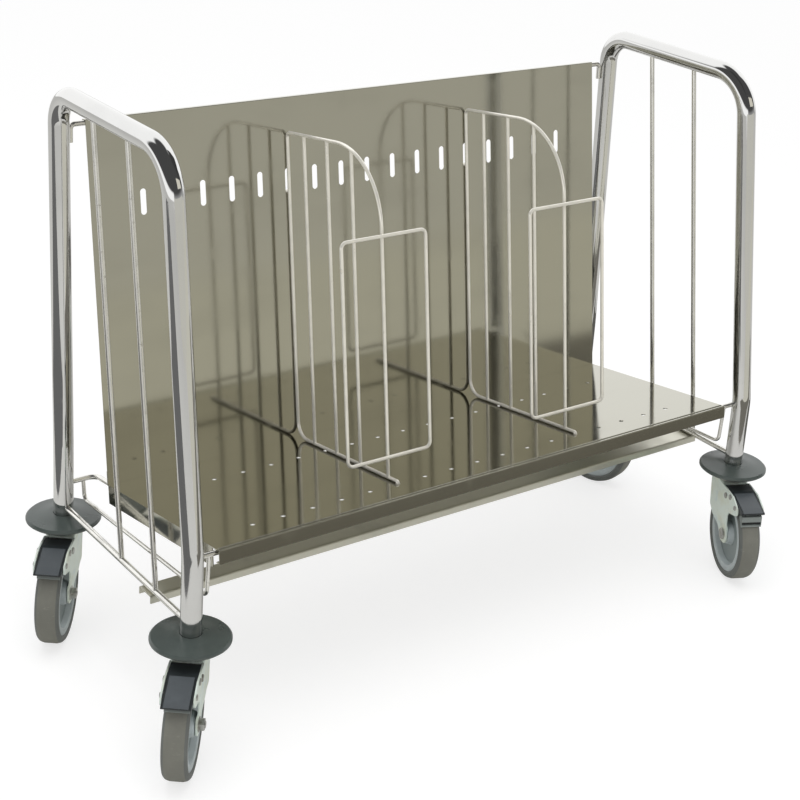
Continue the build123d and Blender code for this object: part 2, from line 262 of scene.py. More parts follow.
class Web:
    """The node tree of one material, or of the world."""

    def __init__(self, name, owner=None):
        self.material = owner or bpy.data.materials.new(name)
        self.material.use_nodes = True
        self.tree = self.material.node_tree
        self.shader = self.tree.nodes["Background" if owner else "Principled BSDF"]
        self.place = self.add("ShaderNodeTexCoord", output="Object")

    def add(self, kind, settings=None, values=None, output=0):
        node = self.tree.nodes.new(kind)
        for key, value in (settings or {}).items():
            setattr(node, key, value)
        for key, value in (values or {}).items():
            self.feed(node.inputs[key], value)
        return Signal(self, node.outputs[output])

    def feed(self, socket, value):
        if isinstance(value, Signal):
            self.tree.links.new(value.socket, socket)
        elif isinstance(value, (tuple, list)) and len(value) == 3 and socket.type == "RGBA":
            socket.default_value = (*value, 1.0)
        else:
            socket.default_value = value

    def stretched(self, scale, turn=(0, 0, 0)):
        return self.add("ShaderNodeMapping", None, {"Vector": self.place, "Scale": scale, "Rotation": turn})

    def noise(self, scale, detail=3.0, rough=0.5, where=None):
        return self.add("ShaderNodeTexNoise", None, {"Vector": where or self.place, "Scale": scale,
                                                     "Detail": detail, "Roughness": rough}, "Fac")

    def cells(self, scale):
        """Distance to the nearest of scattered points."""
        values = {"Vector": self.place, "Scale": scale}
        return self.add("ShaderNodeTexVoronoi", {"feature": "F1"}, values, "Distance")

    def blend(self, factor, first, second):
        return self.add("ShaderNodeMix", {"data_type": "RGBA"}, {0: factor, 6: first, 7: second}, 2)

    def bump(self, height, strength, distance, under=None):
        values = {"Height": height, "Strength": strength, "Distance": distance}
        if under is not None:
            values["Normal"] = under
        return self.add("ShaderNodeBump", None, values)

    def apart(self, vector):
        """The X, Y and Z of a vector."""
        node = self.tree.nodes.new("ShaderNodeSeparateXYZ")
        self.feed(node.inputs[0], vector)
        return [Signal(self, output) for output in node.outputs]

    def set(self, **values):
        for key, value in values.items():
            self.feed(self.shader.inputs[key.replace("_", " ")], value)
        return self.material


def scaled(rgb, factor):
    return tuple(min(1.0, c * factor) for c in rgb)


# ------------------------------------------------------------------ finishes
def chrome_tube(name, rgb, roughness):
    """Polished chrome with faint draw lines, haze and a few dull specks."""
    web = Web(name)
    haze = web.noise(9.0, 4.0, 0.55).step(0.42, 0.75)
    prints = web.noise(38.0, 2.0, 0.5).step(0.60, 0.70)
    specks = 1 - web.cells(160.0).step(0.05, 0.13)
    worn = (web.noise(5.0, 2.0).step(0.52, 0.62) * specks).clip()
    tone = web.blend(haze * 0.55, rgb, scaled(rgb, 0.90))
    tone = web.blend(worn * 0.5, tone, scaled(rgb, 0.55))
    grain = web.noise(1.0, 2.0, 0.5, web.stretched((900, 900, 12)))
    wave = web.noise(26.0, 1.0, 0.4)
    normal = web.bump(wave, 0.05, 0.8 * MM)
    normal = web.bump(grain, 0.03, 0.1 * MM, normal)
    return web.set(Base_Color=tone, Metallic=1.0, Normal=normal,
                   Roughness=(haze * 0.06 + prints * 0.05 + worn * 0.2 + roughness).clip())


def bright_wire(name, rgb, metallic):
    """Drawn bright wire, a little warmer and softer than the tube."""
    web = Web(name)
    haze = web.noise(30.0, 4.0, 0.6).step(0.40, 0.72)
    tone = web.blend(haze * 0.6, rgb, scaled(rgb, 0.82))
    stain = web.noise(110.0, 2.0).step(0.66, 0.74)
    tone = web.blend(stain * 0.35, tone, (0.30, 0.27, 0.21))
    normal = web.bump(web.noise(260.0, 2.0), 0.05, 0.2 * MM)
    return web.set(Base_Color=tone, Metallic=metallic, Normal=normal,
                   Roughness=haze * 0.10 + stain * 0.15 + 0.13)


def polished_sheet(name, rgb, roughness):
    """Bright stainless sheet: rolled grain along the cart, wipe marks, hairlines and a slight wave."""
    web = Web(name)
    grain = web.noise(1.0, 3.0, 0.6, web.stretched((6, 900, 900)))
    hair = web.noise(1.0, 1.0, 0.5, web.stretched((22, 2400, 2400), turn=(0, 0, 0.03))).step(0.70, 0.76)
    wipes = web.noise(3.2, 3.0, 0.55, web.stretched((1.0, 2.6, 2.6), turn=(0, 0.5, 0.2))).step(0.45, 0.72)
    marks = web.noise(21.0, 2.0, 0.5).step(0.63, 0.72)
    tone = web.blend(wipes * 0.6, rgb, scaled(rgb, 0.90))
    tone = web.blend(grain * 0.12, tone, scaled(rgb, 1.12))
    tone = web.blend(hair * 0.20, tone, scaled(rgb, 1.3))
    wave = web.noise(2.1, 1.0, 0.4)
    normal = web.bump(wave, 0.22, 3.0 * MM)
    normal = web.bump(grain, 0.035, 0.08 * MM, normal)
    return web.set(Base_Color=tone, Metallic=1.0, Normal=normal,
                   Roughness=(wipes * 0.03 + marks * 0.04 + grain * 0.025 + hair * 0.06 + roughness).clip())


def dull_channel(name, rgb):
    """Unpolished stainless: grain along the channel and dirt in patches."""
    web = Web(name)
    grain = web.noise(1.0, 3.0, 0.6, web.stretched((8, 1400, 1400)))
    dirt = web.noise(14.0, 4.0, 0.6).step(0.50, 0.78)
    tone = web.blend(dirt * 0.5, rgb, scaled(rgb, 0.72))
    normal = web.bump(grain, 0.10, 0.1 * MM)
    return web.set(Base_Color=tone, Metallic=1.0, Roughness=dirt * 0.12 + grain * 0.08 + 0.30, Normal=normal)


def zinc_plate(name, rgb):
    """Clear zinc plate on pressed steel: soft, pale, with blooms of yellow and blue."""
    web = Web(name)
    bloom = web.noise(24.0, 3.0, 0.6)
    tone = web.blend(bloom.step(0.46, 0.66) * 0.7, rgb, (0.80, 0.84, 0.70))
    tone = web.blend(web.noise(41.0, 2.0).step(0.55, 0.72) * 0.6, tone, (0.70, 0.82, 0.84))
    dull = web.noise(75.0, 4.0, 0.7).step(0.56, 0.80)
    tone = web.blend(dull * 0.4, tone, scaled(rgb, 0.7))
    normal = web.bump(web.noise(300.0, 3.0), 0.10, 0.15 * MM)
    return web.set(Base_Color=tone, Metallic=0.30, Roughness=dull * 0.15 + bloom * 0.10 + 0.30, Normal=normal)


def bare_bolt(name, rgb):
    """Bare steel, dulled in patches."""
    web = Web(name)
    dull = web.noise(120.0, 4.0, 0.6).step(0.42, 0.72)
    tone = web.blend(dull, rgb, (0.27, 0.26, 0.22))
    normal = web.bump(web.noise(420.0, 2.0), 0.12, 0.15 * MM)
    return web.set(Base_Color=tone, Metallic=0.9, Roughness=dull * 0.25 + 0.28, Normal=normal)


def grey_rubber(name, rgb, roughness, dust):
    """Moulded rubber: bloom, dust in patches, and a fine pebble."""
    web = Web(name)
    bloom = web.noise(16.0, 4.0, 0.6).step(0.35, 0.78)
    scuff = web.noise(1.0, 4.0, 0.7, web.stretched((90, 90, 260))).step(0.60, 0.74)
    tone = web.blend(bloom * dust, rgb, scaled(rgb, 1.7))
    tone = web.blend(scuff * 0.35, tone, scaled(rgb, 2.1))
    pebble = web.noise(1400.0, 2.0)
    normal = web.bump(pebble, 0.10, 0.12 * MM)
    normal = web.bump(web.noise(60.0, 2.0), 0.12, 0.4 * MM, normal)
    return web.set(Base_Color=tone, Metallic=0.0, Normal=normal,
                   Roughness=bloom * 0.12 + scuff * 0.10 + roughness)


def moulded_plastic(name, rgb, roughness):
    """Moulded plastic with haze, scratches and a fine grain."""
    web = Web(name)
    haze = web.noise(34.0, 4.0, 0.6).step(0.38, 0.78)
    tone = web.blend(haze * 0.4, rgb, scaled(rgb, 1.5))
    scratch = web.noise(1.0, 2.0, 0.6, web.stretched((60, 700, 700))).step(0.68, 0.76)
    tone = web.blend(scratch * 0.3, tone, scaled(rgb, 2.4))
    normal = web.bump(web.noise(900.0, 2.0), 0.08, 0.1 * MM)
    return web.set(Base_Color=tone, Metallic=0.0, Normal=normal,
                   Roughness=haze * 0.12 + scratch * 0.12 + roughness)


FINISHES = {}


def finish_of(slot):
    """The material of a record slot, or of a tone that only the scene has, made once."""
    if slot not in FINISHES:
        metal = bpy.context.scene.cart_metal
        plastic = bpy.context.scene.cart_plastic
        makers = {
            "polished_tube": lambda n: chrome_tube(n, tuple(metal.tube), metal.tube_roughness),
            "bright_wire": lambda n: bright_wire(n, tuple(metal.wire), 0.95),
            "divider_wire": lambda n: bright_wire(n, tuple(metal.divider), 0.42),
            "polished_sheet": lambda n: polished_sheet(n, tuple(metal.sheet), metal.sheet_roughness),
            "dull_channel": lambda n: dull_channel(n, tuple(metal.channel)),
            "zinc_plate": lambda n: zinc_plate(n, tuple(metal.zinc)),
            "plain_steel": lambda n: bare_bolt(n, tuple(metal.bolt)),
            "bumper_rubber": lambda n: grey_rubber(n, tuple(plastic.bumper), 0.27, 0.35),
            "tyre_rubber": lambda n: grey_rubber(n, tuple(plastic.tyre), 0.50, 0.55),
            "hub_plastic": lambda n: moulded_plastic(n, tuple(plastic.hub), 0.42),
            "pedal_plastic": lambda n: moulded_plastic(n, tuple(plastic.pedal), 0.34),
            "brake_pad": lambda n: moulded_plastic(n, tuple(plastic.pad), 0.45),
            "tyre_tread": lambda n: grey_rubber(n, tuple(plastic.tread), 0.55, 0.35),
            # The hub web finish is painted shade: darker plastic for the shade inside the dish.
            "hub_web": lambda n: moulded_plastic(n, tuple(plastic.web), 0.48),
            "pedal_tread": lambda n: moulded_plastic(n, tuple(plastic.step), 0.36),
            # The slot finish is painted shade: near black for the shade in the shoe's slot.
            "slot_dark": lambda n: moulded_plastic(n, tuple(plastic.slot), 0.6),
        }
        FINISHES[slot] = makers[slot]("finish_" + slot)
    return FINISHES[slot]


# ------------------------------------------------------------------ pieces
def add_piece(name, bm, body, slot, stands_for=(), tones=()):
    """A finished mesh in the row frame, riding on its body."""
    for edge in bm.edges:
        edge.smooth = len(edge.link_faces) != 2 or edge.calc_face_angle(0) < SMOOTH_BELOW
    for face in bm.faces:
        face.smooth = True
    mesh = bpy.data.meshes.new(name)
    bm.to_mesh(mesh)
    bm.free()
    for finish in (slot, *tones):
        mesh.materials.append(finish_of(finish))
    piece = bpy.data.objects.new(name, mesh)
    bpy.context.scene.collection.objects.link(piece)
    flat = piece.modifiers.new("flat_faces", "WEIGHTED_NORMAL")
    flat.mode = "FACE_AREA"
    flat.keep_sharp = True
    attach(piece, body)
    if stands_for:
        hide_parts(*stands_for)
    return piece


def merged(node):
    """A copy of a node's mesh, with its loose triangles joined."""
    bm = bmesh.new()
    bm.from_mesh(NODES[node].data)
    bmesh.ops.remove_doubles(bm, verts=bm.verts, dist=MERGE)
    return bm


def bevelled(bm, edges, width, segments=2):
    bmesh.ops.bevel(bm, geom=edges, offset=width, offset_type="OFFSET", affect="EDGES", segments=segments,
                    profile=0.5, material=-1, clamp_overlap=True)
    return bm


def eased(bm, width):
    """Rounds the sharp edges a little."""
    edges = [e for e in bm.edges if len(e.link_faces) == 2 and e.calc_face_angle(0) > SMOOTH_BELOW]
    return bevelled(bm, edges, width)


def dress(node, width=0.0):
    """The node's own shape with its finish, and its sharp edges rounded by the width."""
    bm = merged(node)
    if width:
        bmesh.ops.dissolve_limit(bm, angle_limit=FLAT_WITHIN, verts=bm.verts, edges=bm.edges,
                                 use_dissolve_boundaries=False, delimit={"NORMAL"})
        eased(bm, width)
    return add_piece(node + "_dressed", bm, BODY_OF[node], SLOT_OF[node], (node,))


def pulled(bm, ring, way):
    """Extrudes a ring of edges along a straight run and gives the new ring."""
    made = bmesh.ops.extrude_edge_only(bm, edges=ring)["geom"]
    bmesh.ops.translate(bm, vec=way, verts=[v for v in made if isinstance(v, bmesh.types.BMVert)])
    return [e for e in made if isinstance(e, bmesh.types.BMEdge) and len(e.link_faces) < 2]


def swept(points, bends, radius, around, turn_step):
    """A round tube's skin along straight runs and round bends, open at both ends."""
    bm = bmesh.new()
    points = [Vector(p) for p in points]
    heading = (points[1] - points[0]).normalized()
    mouth = Matrix.Translation(points[0]) @ heading.to_track_quat("Z", "Y").to_matrix().to_4x4()
    bmesh.ops.create_circle(bm, segments=around, radius=radius, cap_ends=False, matrix=mouth)
    ring = list(bm.edges)
    place = points[0]
    for k, bend in enumerate(bends, 1):
        heading = (points[k] - points[k - 1]).normalized()
        onward = (points[k + 1] - points[k]).normalized()
        turn = heading.angle(onward)
        reach = bend * math.tan(turn / 2)
        start = points[k] - heading * reach
        ring = pulled(bm, ring, start - place)
        axis = heading.cross(onward).normalized()
        corners = list({v for e in ring for v in e.verts})
        spun = bmesh.ops.spin(bm, geom=ring + corners, cent=start + axis.cross(heading) * bend, axis=axis,
                              angle=turn, steps=max(2, math.ceil(turn / turn_step)), use_merge=False,
                              use_duplicate=False)
        ring = [e for e in spun["geom_last"] if isinstance(e, bmesh.types.BMEdge)]
        place = points[k] + onward * reach
    pulled(bm, ring, points[-1] - place)
    bmesh.ops.recalc_face_normals(bm, faces=bm.faces)
    return bm


class CART_OT_end_frames(bpy.types.Operator):
    """Dress the chromed tubes of both end frames"""
    bl_idname = "cart.end_frames"
    bl_label = "End frames"

    def execute(self, context):
        for side in SIDES:
            node = side + "_frame_tube"
            foot = joint_place("front_" + side + "_swivel")
            route = [(foot.x, y + foot.y, z) for y, z in TUBE_ROUTE]
            bm = swept(route, TUBE_BENDS, TUBE_RADIUS, TUBE_AROUND, TUBE_STEP)
            piece = add_piece(node + "_skin", bm, BODY_OF[node], SLOT_OF[node], (node,))
            wall = piece.modifiers.new("wall", "SOLIDIFY")
            wall.thickness = TUBE_WALL
            wall.offset = -1.0
            # the wall comes before the weighted normals
            piece.modifiers.move(1, 0)
        return {"FINISHED"}


class CART_OT_wires(bpy.types.Operator):
    """Dress the bars, infill wires, support rods and loops"""
    bl_idname = "cart.wires"
    bl_label = "Frame wires"

    def execute(self, context):
        for side in SIDES:
            for kind in ("frame_bottom_bar", "frame_infill_wires", "shelf_support_rod", "drop_loop"):
                dress(side + "_" + kind)
        dress("panel_top_rod")
        return {"FINISHED"}


class CART_OT_sheets(bpy.types.Operator):
    """Dress the shelf, the back panel and the stretcher channel"""
    bl_idname = "cart.sheets"
    bl_label = "Sheets"

    def execute(self, context):
        for node in ("shelf_tray", "back_panel", "stretcher_channel"):
            dress(node, context.scene.cart_metal.sheet_edge)
        return {"FINISHED"}


class CART_OT_dividers(bpy.types.Operator):
    """Dress the two wire dividers"""
    bl_idname = "cart.dividers"
    bl_label = "Dividers"

    def execute(self, context):
        for side in SIDES:
            for kind in ("outline", "uprights", "fence"):
                wire = dress(side + "_divider_" + kind)
                wire.data.materials[0] = finish_of("divider_wire")
        return {"FINISHED"}


def caster_axes(corner):
    """From the caster's own axes to the row frame."""
    foot = joint_place(corner + "_swivel")
    trail = joint_place(corner + "_wheel_spin") - foot
    trail.z = 0
    trail.normalize()
    up = Vector((0, 0, 1))
    axes = Matrix((trail, up.cross(trail), up)).transposed()
    return Matrix.Translation((foot.x, foot.y, 0)) @ axes.to_4x4() @ Matrix.Scale(MM, 4)


def outline(corners):
    """A flat face in the side view from (U, Z, radius) corners, each rounded."""
    bm = bmesh.new()
    verts = [bm.verts.new((u, 0, z)) for u, z, radius in corners]
    bm.faces.new(verts)
    spots = [v.co.copy() for v in verts]
    for k, (vert, corner) in enumerate(zip(verts, corners)):
        if corner[2]:
            turn = (spots[k] - spots[k - 1]).angle(spots[(k + 1) % len(spots)] - spots[k])
            bmesh.ops.bevel(bm, geom=[vert], offset=corner[2] * math.tan(turn / 2), offset_type="OFFSET",
                            affect="VERTICES", segments=6, profile=0.5, material=-1)
    return bm


def thickened(bm, way):
    """Extrudes every face the given way into closed solids."""
    grown = bmesh.ops.extrude_face_region(bm, geom=bm.faces[:], use_keep_orig=True)["geom"]
    bmesh.ops.translate(bm, vec=way, verts=[g for g in grown if isinstance(g, bmesh.types.BMVert)])
    bmesh.ops.recalc_face_normals(bm, faces=bm.faces)
    return bm


def slab(corners, near, far):
    """An outline given a thickness along the axle, from near to far."""
    bm = outline(corners)
    bmesh.ops.translate(bm, vec=(0, near, 0), verts=bm.verts)
    return thickened(bm, (0, far - near, 0))


def turned(corners, around=96):
    """A closed (V, radius, rounding) section turned about the wheel's axle."""
    bm = outline(corners)
    bmesh.ops.delete(bm, geom=bm.faces[:], context="FACES_ONLY")
    along_axle = Matrix(((0, 0, 0, 0), (1, 0, 0, 0), (0, 0, 1, 0), (0, 0, 0, 1)))
    bmesh.ops.transform(bm, matrix=along_axle, verts=bm.verts)
    bmesh.ops.spin(bm, geom=bm.verts[:] + bm.edges[:], cent=(0, 0, 0), axis=(0, 1, 0), angle=math.tau,
                   steps=around, use_merge=True)
    bmesh.ops.remove_doubles(bm, verts=bm.verts, dist=0.001)
    bmesh.ops.translate(bm, vec=(TRAIL, 0, WHEEL_R), verts=bm.verts)
    bmesh.ops.recalc_face_normals(bm, faces=bm.faces)
    return bm


def button(u, z, radius, near, far, round_off, segments=32):
    """A short round or six-sided stud along the axle, rounded at its far end."""
    bm = bmesh.new()
    side = Matrix.Rotation(math.radians(-90 if far > near else 90), 4, "X")
    bmesh.ops.create_cone(bm, cap_ends=True, segments=segments, radius1=radius, radius2=radius,
                          depth=abs(far - near), matrix=Matrix.Translation((u, (near + far) / 2, z)) @ side)
    rim = [e for e in bm.edges if all(abs(v.co.y - far) < 0.01 for v in e.verts)]
    return bevelled(bm, rim, round_off, 3)


def joined(parts):
    """Several meshes as one."""
    whole = bmesh.new()
    for part in parts:
        mesh = bpy.data.meshes.new("part")
        part.to_mesh(mesh)
        part.free()
        whole.from_mesh(mesh)
        bpy.data.meshes.remove(mesh)
    return whole


def on_tyre(angle, gap):
    """U and Z of a point outside the tyre, at an angle up from straight ahead."""
    turn = math.radians(angle)
    return TRAIL + (WHEEL_R + gap) * math.cos(turn), WHEEL_R + (WHEEL_R + gap) * math.sin(turn)


def raised(corners, angle):
    """Side-view corners with those in front of the ridge turned up about it."""
    turn = math.radians(angle)
    u0, z0 = RIDGE
    return [(u0 + (u - u0) * math.cos(turn) - (z - z0) * math.sin(turn),
             z0 + (u - u0) * math.sin(turn) + (z - z0) * math.cos(turn), r) if u > RAISED_FROM else (u, z, r)
            for u, z, r in corners]


def mirrored(half):
    """A section's corners with their mirror images across the wheel's middle."""
    return half + [(-v, r, e) for v, r, e in half[::-1]]


def cheek_form(side):
    """One cheek, with its lobe in front and its joggle beside the wheel."""
    cheek = [(ROOF_BACK, ROOF_FOOT, 0), (ROOF_FRONT, ROOF_FOOT, 0), (ROOF_FRONT, ROOF, 0), (42, 158.5, 3),
             (72, 158.5, 10), (98, 147, 8), (97, 134, 7), (57, 121, 12), (62, 60, 14), (34, 60, 13),
             (22, 78, 18), (-19, 86, 16)]
    bm = slab(cheek, side * CHEEK_IN, side * (CHEEK_IN + SHEET))
    for k in range(4):
        level = JOGGLE_TOP - k * JOGGLE_CUT
        bmesh.ops.bisect_plane(bm, geom=bm.verts[:] + bm.edges[:] + bm.faces[:], plane_co=(0, 0, level),
                               plane_no=(0, 0, 1))
    for vert in bm.verts:
        depth = min(1.0, max(0.0, (JOGGLE_TOP - vert.co.z) / JOGGLE_RUN))
        vert.co.y -= side * (CHEEK_IN - CHEEK_LOW) * depth * depth * (3 - 2 * depth)
    return eased(bm, CHEEK_EDGE)


def roof_form():
    """The fork's roof, bent down at both sides to meet the cheeks."""
    outer = CHEEK_IN + SHEET
    turns = [math.radians(15 * k) for k in range(7)]

    def arc(radius):
        return [(outer - ROOF_BEND + radius * math.cos(a), ROOF - ROOF_BEND + radius * math.sin(a))
                for a in turns]

    over = [(outer, ROOF_FOOT)] + arc(ROOF_BEND)
    under = [(CHEEK_IN, ROOF_FOOT)] + arc(ROOF_BEND - SHEET)
    section = over + [(-v, z) for v, z in over[::-1]] + [(-v, z) for v, z in under] + under[::-1]
    bm = bmesh.new()
    bm.faces.new([bm.verts.new((ROOF_BACK, v, z)) for v, z in section])
    return thickened(bm, (ROOF_FRONT - ROOF_BACK, 0, 0))


def fork_form():
    """Pressed fork: two joggled cheeks with lobes, and a roof bent down to them."""
    return joined([cheek_form(-1), cheek_form(1), roof_form()])


def axle_form():
    """Bolt through the cheeks: its head, its thread, a washer and a six-sided nut."""
    face = CHEEK_LOW + SHEET
    return joined([button(TRAIL, WHEEL_R, 9.5, -face, -face - 3.6, 1.6),
                   button(TRAIL, WHEEL_R, 5.0, -face, face + 9.5, 0.8),
                   button(TRAIL, WHEEL_R, 10.6, face, face + 1.6, 0.6),
                   button(TRAIL, WHEEL_R, 9.2, face + 1.6, face + 8.0, 0.7, 6)])


def tyre_form():
    """Tyre with a flat running face, rounded shoulders and a groove in each side."""
    half = [(9.0, 75, 5), (14.6, 73.4, 4), (17.6, 70.2, 1.6), (17.6, 68.8, 0.2), (17.3, 68.5, 0.2),
            (17.3, 67.8, 0.2), (17.6, 67.5, 0.2), (17.6, 65.4, 1.2), (15.2, 63, 0)]
    bm = turned(mirrored(half))
    for face in bm.faces:
        middle = face.calc_center_median()
        if math.hypot(middle.x - TRAIL, middle.z - WHEEL_R) > TYRE_TREAD_R:
            face.material_index = 1
    return bm


def hub_form():
    """Plain dished hub with a raised rim and a boss."""
    half = [(15.2, 63, 0), (16.4, 60, 1), (16.2, 54, 1.2), (15.0, 52.6, 0.8), (5.0, 50, 2.5), (6.0, 20, 2.5),
            (15.5, 17, 0.8), (17.2, 15, 0.8), (17.2, 8.1, 0)]
    bm = turned(mirrored(half))
    # The web's side faces take the second tone, a painted shade for the shade inside the dish.
    for face in bm.faces:
        if abs(face.calc_center_median().y) < HUB_WEB_HALF and abs(face.normal.y) > 0.2:
            face.material_index = 1
    return bm


def pedal_form(corner):
    """Tread pad with a rounded lip, side rims with lugs at the pivot, and two webs down to the shoe."""
    up, start = BRAKES[corner][:2]
    pad = [(29.5, 154.8, 0.4), (29.5, 158, 1.5), (56, 158.3, 4), (70, 154.2, 30), (84, 149.4, 40),
           (97, 145.1, 30), (109.4, 140.2, 1.2), (108.6, 136.9, 1.2), (96, 141.1, 0), (83, 145.6, 0),
           (61, 152.6, 3), (56, 154.6, 2)]
    rim = [(39, 157.4, 1), (37.6, 146, 5), (40, 140, 4), (48, 139.6, 5), (58, 147.2, 3), (67, 147.6, 2),
           (71, 149.2, 2), (80, 146.2, 2), (92, 141.2, 2), (103, 135.2, 1.5), (108.2, 137.6, 1),
           (84, 147.6, 0), (62, 155, 0), (56, 157.4, 2)]
    web_foot = [(*on_tyre(start + SHOE_SPAN - 2, TYRE_GAP + 2), 0), (*on_tyre(start + 4, TYRE_GAP + 2), 0)]
    web = web_foot + raised([(104, 139.6, 0), (88, 145.0, 0)], up)
    tread = [(61, 156.8, 1), (70, 154.2, 30), (84, 149.4, 40), (97, 145.1, 30), (109.4, 140.0, 1.0),
             (109.9, 141.0, 0.6), (97.4, 146.2, 30), (84.4, 150.6, 40), (70.4, 155.4, 30), (62, 157.9, 1)]
    parts = [eased(slab(raised(pad, up), -PEDAL_HALF, PEDAL_HALF), PEDAL_EDGE)]
    step = eased(slab(raised(tread, up), -PEDAL_HALF + TREAD_INSET, PEDAL_HALF - TREAD_INSET), THIN_EDGE)
    for face in step.faces:
        face.material_index = 1
    parts.append(step)
    for side in (-1, 1):
        parts.append(eased(slab(raised(rim, up), side * (PEDAL_HALF - RIM), side * PEDAL_HALF), THIN_EDGE))
        parts.append(slab(web, side * PEDAL_WEB - WEB_HALF, side * PEDAL_WEB + WEB_HALF))
    return joined(parts)


def shoe_form(corner):
    """Block that follows the tyre under the pad. The tall one has a slot across its upright front."""
    up, start, depth = BRAKES[corner]
    foot = [(*on_tyre(start + SHOE_SPAN * k / 6, TYRE_GAP), 0) for k in range(7)]
    if not up:
        back = [(*on_tyre(start + SHOE_SPAN, TYRE_GAP + depth), 1.0),
                (*on_tyre(start + 8, TYRE_GAP + depth), 1.0), (*on_tyre(start, TYRE_GAP + 2.4), 0.8)]
        return eased(slab(foot + back, -SHOE_HALF, SHOE_HALF), CHEEK_EDGE)
    back = [(*on_tyre(start + SHOE_SPAN, TYRE_GAP + 4.6), 1.0), (98, 140.2, 1.0), (108.4, 138.4, 1.2),
            (108.4, 129.2, 0), (108.4, 123.0, 0), (108.4, 120.6, 0.5)]
    bm = slab(foot + back, -SHOE_HALF, SHOE_HALF)
    front = [f for f in bm.faces if f.normal.x > 0.9 and abs(f.calc_center_median().z - SLOT_MIDDLE) < 1.0]
    bmesh.ops.inset_individual(bm, faces=front, thickness=SLOT_RIM, depth=-SLOT_DEEP)
    # The slot's faces take the second tone, a near black painted shade in the recess.
    for face in front:
        face.material_index = 1
    return bm


def rivets_form():
    """The pedal's pivot pins with their heads, and the plain rivet heads in the lobes."""
    parts = []
    face = CHEEK_IN + SHEET
    for side in (-1, 1):
        parts.append(button(*PIVOT, 2.9, side * (PEDAL_HALF - RIM), side * (face + 1.0), 0.2))
        parts.append(button(*PIVOT, 5.2, side * face, side * (face + 2.0), 1.3))
        for spot in LOBE_RIVETS:
            parts.append(button(*spot, side * face, side * (face + 1.7), 1.1))
    return joined(parts)


class CART_OT_casters(bpy.types.Operator):
    """Make the forks, wheels, pedals and shoes of the four casters, and dress the rest"""
    bl_idname = "cart.casters"
    bl_label = "Casters"

    def execute(self, context):
        for corner in CORNERS:
            axes = caster_axes(corner)
            forms = (("caster_fork", fork_form(), ()), ("wheel_axle_bolt", axle_form(), ()),
                     # The hub's second tone is painted shade inside its dished web.
                     ("wheel_tyre", tyre_form(), ("tyre_tread",)), ("wheel_hub", hub_form(), ("hub_web",)),
                     ("brake_pedal", pedal_form(corner), ("pedal_tread",)),
                     # The tall shoe's second tone is painted shade in its slot.
                     ("brake_shoe", shoe_form(corner), ("slot_dark",)), ("pedal_rivets", rivets_form(), ()))
            for kind, bm, tones in forms:
                node = corner + "_" + kind
                bmesh.ops.transform(bm, matrix=axes, verts=bm.verts)
                add_piece(node + "_form", bm, BODY_OF[node], SLOT_OF[node], (node,), tones)
            dress(corner + "_bumper_disc")
            dress(corner + "_wheel_sleeve")
        dress("caster_stems")
        dress("swivel_bearings")
        return {"FINISHED"}


# ------------------------------------------------------------------ stage
def plane_piece(name, size_x, size_y):
    """A flat sheet of the stage, which isn't part of the cart."""
    bm = bmesh.new()
    bmesh.ops.create_grid(bm, x_segments=1, y_segments=1, size=0.5)
    bmesh.ops.scale(bm, vec=(size_x, size_y, 1), verts=bm.verts)
    mesh = bpy.data.meshes.new(name)
    bm.to_mesh(mesh)
    bm.free()
    thing = bpy.data.objects.new(name, mesh)
    bpy.context.scene.collection.objects.link(thing)
    return thing


def floor_finish():
    """Near white to the camera, by a glow that no other ray sees, and pale in reflections."""
    web = Web("stage_floor")
    seen = web.add("ShaderNodeLightPath", output="Is Camera Ray")
    tone = web.blend(seen, FLOOR_TONE, (FLOOR_SHARE, FLOOR_SHARE, FLOOR_SHARE))
    glow = web.blend(seen, (0.0, 0.0, 0.0), (FLOOR_LIFT, FLOOR_LIFT, FLOOR_LIFT))
    return web.set(Base_Color=tone, Roughness=0.9, Specular_IOR_Level=0.0, Emission_Color=glow,
                   Emission_Strength=1.0)


def card_finish(name, rgb):
    """An even glow."""
    web = Web(name)
    glow = web.add("ShaderNodeEmission", None, {"Color": rgb, "Strength": 1.0})
    output = next(n for n in web.tree.nodes if n.type == "OUTPUT_MATERIAL")
    web.tree.links.new(glow.socket, output.inputs["Surface"])
    return web.material


def card(name, size, place, turn, rgb):
    """A studio card that only shows in reflections."""
    thing = plane_piece(name, *size)
    thing.data.transform(Matrix.Translation(place) @ turn.to_4x4())
    thing.data.materials.append(card_finish("stage_" + name, rgb))
    thing.visible_camera = False
    thing.visible_diffuse = False
    thing.visible_shadow = False
    return thing


def surround(world, level):
    """Even light for matt surfaces. Mirrors see a white backdrop, a bright band and a dark room."""
    web = Web("surround", world)
    x, y, z = web.apart(web.add("ShaderNodeTexCoord", output="Generated"))
    flat = (1 - z * z).root()

    def band(way, half, top):
        reach = x * way[0] + y * way[1] - flat * half
        return reach.step(-BAND_EDGE, BAND_EDGE) * (1 - z.step(*top))

    bright = band(*BACKDROP) + band(*WINDOW)
    room = (1 - z.step(*SKIRT_TOP)) * GLOSS_SKIRT + GLOSS_ROOM
    mirror = room + bright.clip() * (GLOSS_WHITE - room)
    glossy = web.add("ShaderNodeLightPath", output="Is Glossy Ray")
    seen = web.add("ShaderNodeLightPath", output="Is Camera Ray")
    soft = level + seen * (1.0 - level)
    web.feed(web.shader.inputs["Color"], (1.0, 1.0, 1.0))
    web.feed(web.shader.inputs["Strength"], soft + glossy * (mirror - soft))


def soft_lamp(scene, power):
    """A wide soft lamp overhead, which no mirror shows."""
    lamp = bpy.data.lights.new("overhead_soft", "AREA")
    lamp.shape = "RECTANGLE"
    lamp.size, lamp.size_y = LAMP_SIZE
    lamp.energy = power
    holder = bpy.data.objects.new("overhead_soft", lamp)
    holder.location = LAMP_PLACE
    holder.rotation_euler = (Vector(LAMP_AIM) - holder.location).to_track_quat("-Z", "Y").to_euler()
    holder.visible_glossy = False
    scene.collection.objects.link(holder)


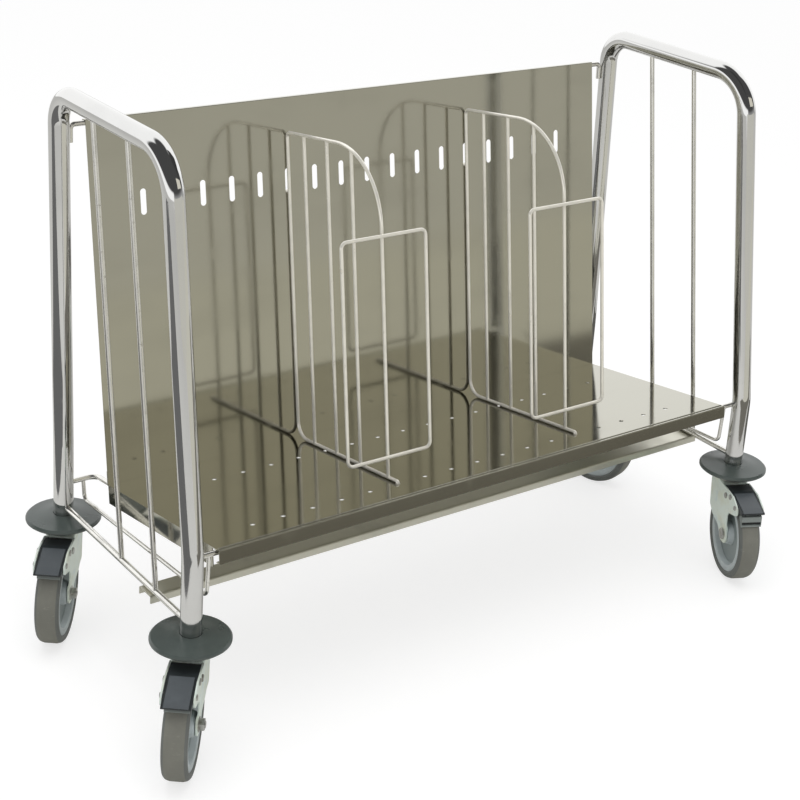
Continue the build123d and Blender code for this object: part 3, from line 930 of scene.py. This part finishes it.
def photo_camera(scene, stage):
    """The camera at its place, with its own upright and its shifted frame."""
    lens = bpy.data.cameras.new("camera")
    lens.sensor_width = SENSOR
    lens.lens = stage.lens
    lens.shift_x = stage.shift_x
    lens.shift_y = stage.shift_y
    camera = bpy.data.objects.new("camera", lens)
    ahead = Vector(stage.camera_forward).normalized()
    side = ahead.cross(Vector(stage.camera_up)).normalized()
    axes = Matrix((side, side.cross(ahead), -ahead)).transposed()
    camera.matrix_world = Matrix.Translation(Vector(stage.camera_place)) @ axes.to_4x4()
    scene.collection.objects.link(camera)
    scene.camera = camera


class CART_OT_stage(bpy.types.Operator):
    """Make the floor, the lamps, the surround and the camera"""
    bl_idname = "cart.stage"
    bl_label = "Stage"

    def execute(self, context):
        scene = context.scene
        stage = scene.cart_stage
        floor = plane_piece("floor", stage.floor_size, stage.floor_size)
        floor.data.materials.append(floor_finish())
        for row in CARDS:
            card(*row)
        soft_lamp(scene, stage.key_power)
        world = bpy.data.worlds.new("surround")
        surround(world, stage.world)
        scene.world = world
        scene.view_settings.view_transform = "Standard"
        photo_camera(scene, stage)
        return {"FINISHED"}


OPERATORS = (CART_OT_end_frames, CART_OT_wires, CART_OT_sheets, CART_OT_dividers, CART_OT_casters,
             CART_OT_stage)


class CART_PT_panel(bpy.types.Panel):
    """The cart's groups, in the order in which they are made"""
    bl_idname = "CART_PT_panel"
    bl_label = "Plate Dispenser Cart"
    bl_space_type = "VIEW_3D"
    bl_region_type = "UI"
    bl_category = "Plate Cart"

    def draw(self, context):
        for group in (context.scene.cart_metal, context.scene.cart_plastic, context.scene.cart_stage):
            box = self.layout.box()
            for name in group.__annotations__:
                box.prop(group, name)
        for operator in OPERATORS:
            self.layout.operator(operator.bl_idname)


CLASSES = (CartMetal, CartPlastic, CartStage, *OPERATORS, CART_PT_panel)


def register():
    for item in CLASSES:
        bpy.utils.register_class(item)
    bpy.types.Scene.cart_metal = PointerProperty(type=CartMetal)
    bpy.types.Scene.cart_plastic = PointerProperty(type=CartPlastic)
    bpy.types.Scene.cart_stage = PointerProperty(type=CartStage)


def unregister():
    del bpy.types.Scene.cart_stage
    del bpy.types.Scene.cart_plastic
    del bpy.types.Scene.cart_metal
    for item in reversed(CLASSES):
        bpy.utils.unregister_class(item)


def main():
    register()
    bpy.ops.cart.end_frames()
    bpy.ops.cart.wires()
    bpy.ops.cart.sheets()
    bpy.ops.cart.dividers()
    bpy.ops.cart.casters()
    bpy.ops.cart.stage()


if __name__ == "__main__":
    main()
